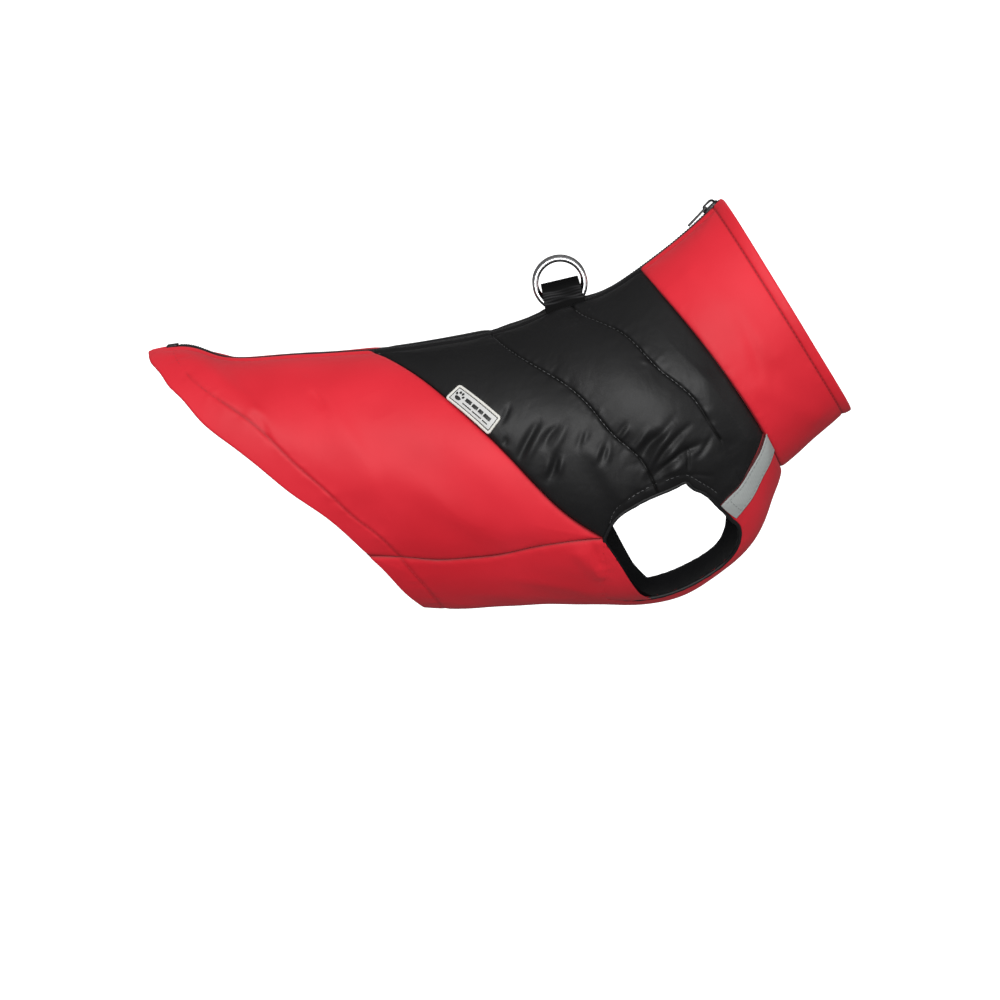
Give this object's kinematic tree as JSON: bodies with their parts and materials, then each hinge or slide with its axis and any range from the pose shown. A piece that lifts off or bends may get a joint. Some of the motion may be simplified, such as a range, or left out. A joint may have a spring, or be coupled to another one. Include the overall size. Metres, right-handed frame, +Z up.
{
  "type": "dog coat",
  "caption": "Padded, quilted dog coat in its worn form, zipped along the back from hem to collar, with open armholes, chest strips and leash rings.",
  "frame": {"origin": "on the dog's back at the withers, against the coat's inner face", "axes": "+X to the dog's head, +Y to its left, +Z up"},
  "size_m": [0.4328, 0.1585, 0.2557],
  "materials": {
    "red_nylon": "satin",
    "black_nylon": "satin",
    "black_edging": "matte",
    "black_webbing": "ribbed, matte",
    "black_zip": "matte",
    "reflective_grey": "satin",
    "label_silver": "satin",
    "dark_metal": "black, glossy",
    "chrome": "polished"
  },
  "bodies": {
    "coat": {"rear_panel_right": "red_nylon", "rear_panel_left": "red_nylon", "side_panel_right": "black_nylon", "side_panel_left": "black_nylon", "under_panel": "red_nylon", "neck_panel": "red_nylon", "armhole_edging_right": "black_edging", "armhole_edging_left": "black_edging", "reflective_strip_right": "reflective_grey", "reflective_strip_left": "reflective_grey", "zip_tape_right": "black_zip", "zip_tape_left": "black_zip", "zip_chain": "black_zip", "zip_end_box": "black_zip", "zip_slider": "dark_metal", "ring_loop_right": "black_webbing", "ring_loop_left": "black_webbing", "label_patch": "label_silver"},
    "d_ring_right": {"d_ring_right": "chrome"},
    "d_ring_left": {"d_ring_left": "chrome"},
    "zip_pull": {"zip_pull": "dark_metal"}
  },
  "joints": [
    {"name": "ring_swing_right", "type": "hinge", "parent": "coat", "child": "d_ring_right", "pos_m": [-0.0234, -0.009, -0.00137], "axis": [0.9732, 0, 0.23], "range_deg": [-4, 12]},
    {"name": "ring_swing_left", "type": "hinge", "parent": "coat", "child": "d_ring_left", "pos_m": [-0.0234, 0.009, -0.00137], "axis": [0.9732, 0, 0.23], "range_deg": [-12, 4]},
    {"name": "pull_lift", "type": "hinge", "parent": "coat", "child": "zip_pull", "pos_m": [0.06263, 0, 0.05485], "axis": [0, 1, 0], "range_deg": [0, 120]}
  ]
}
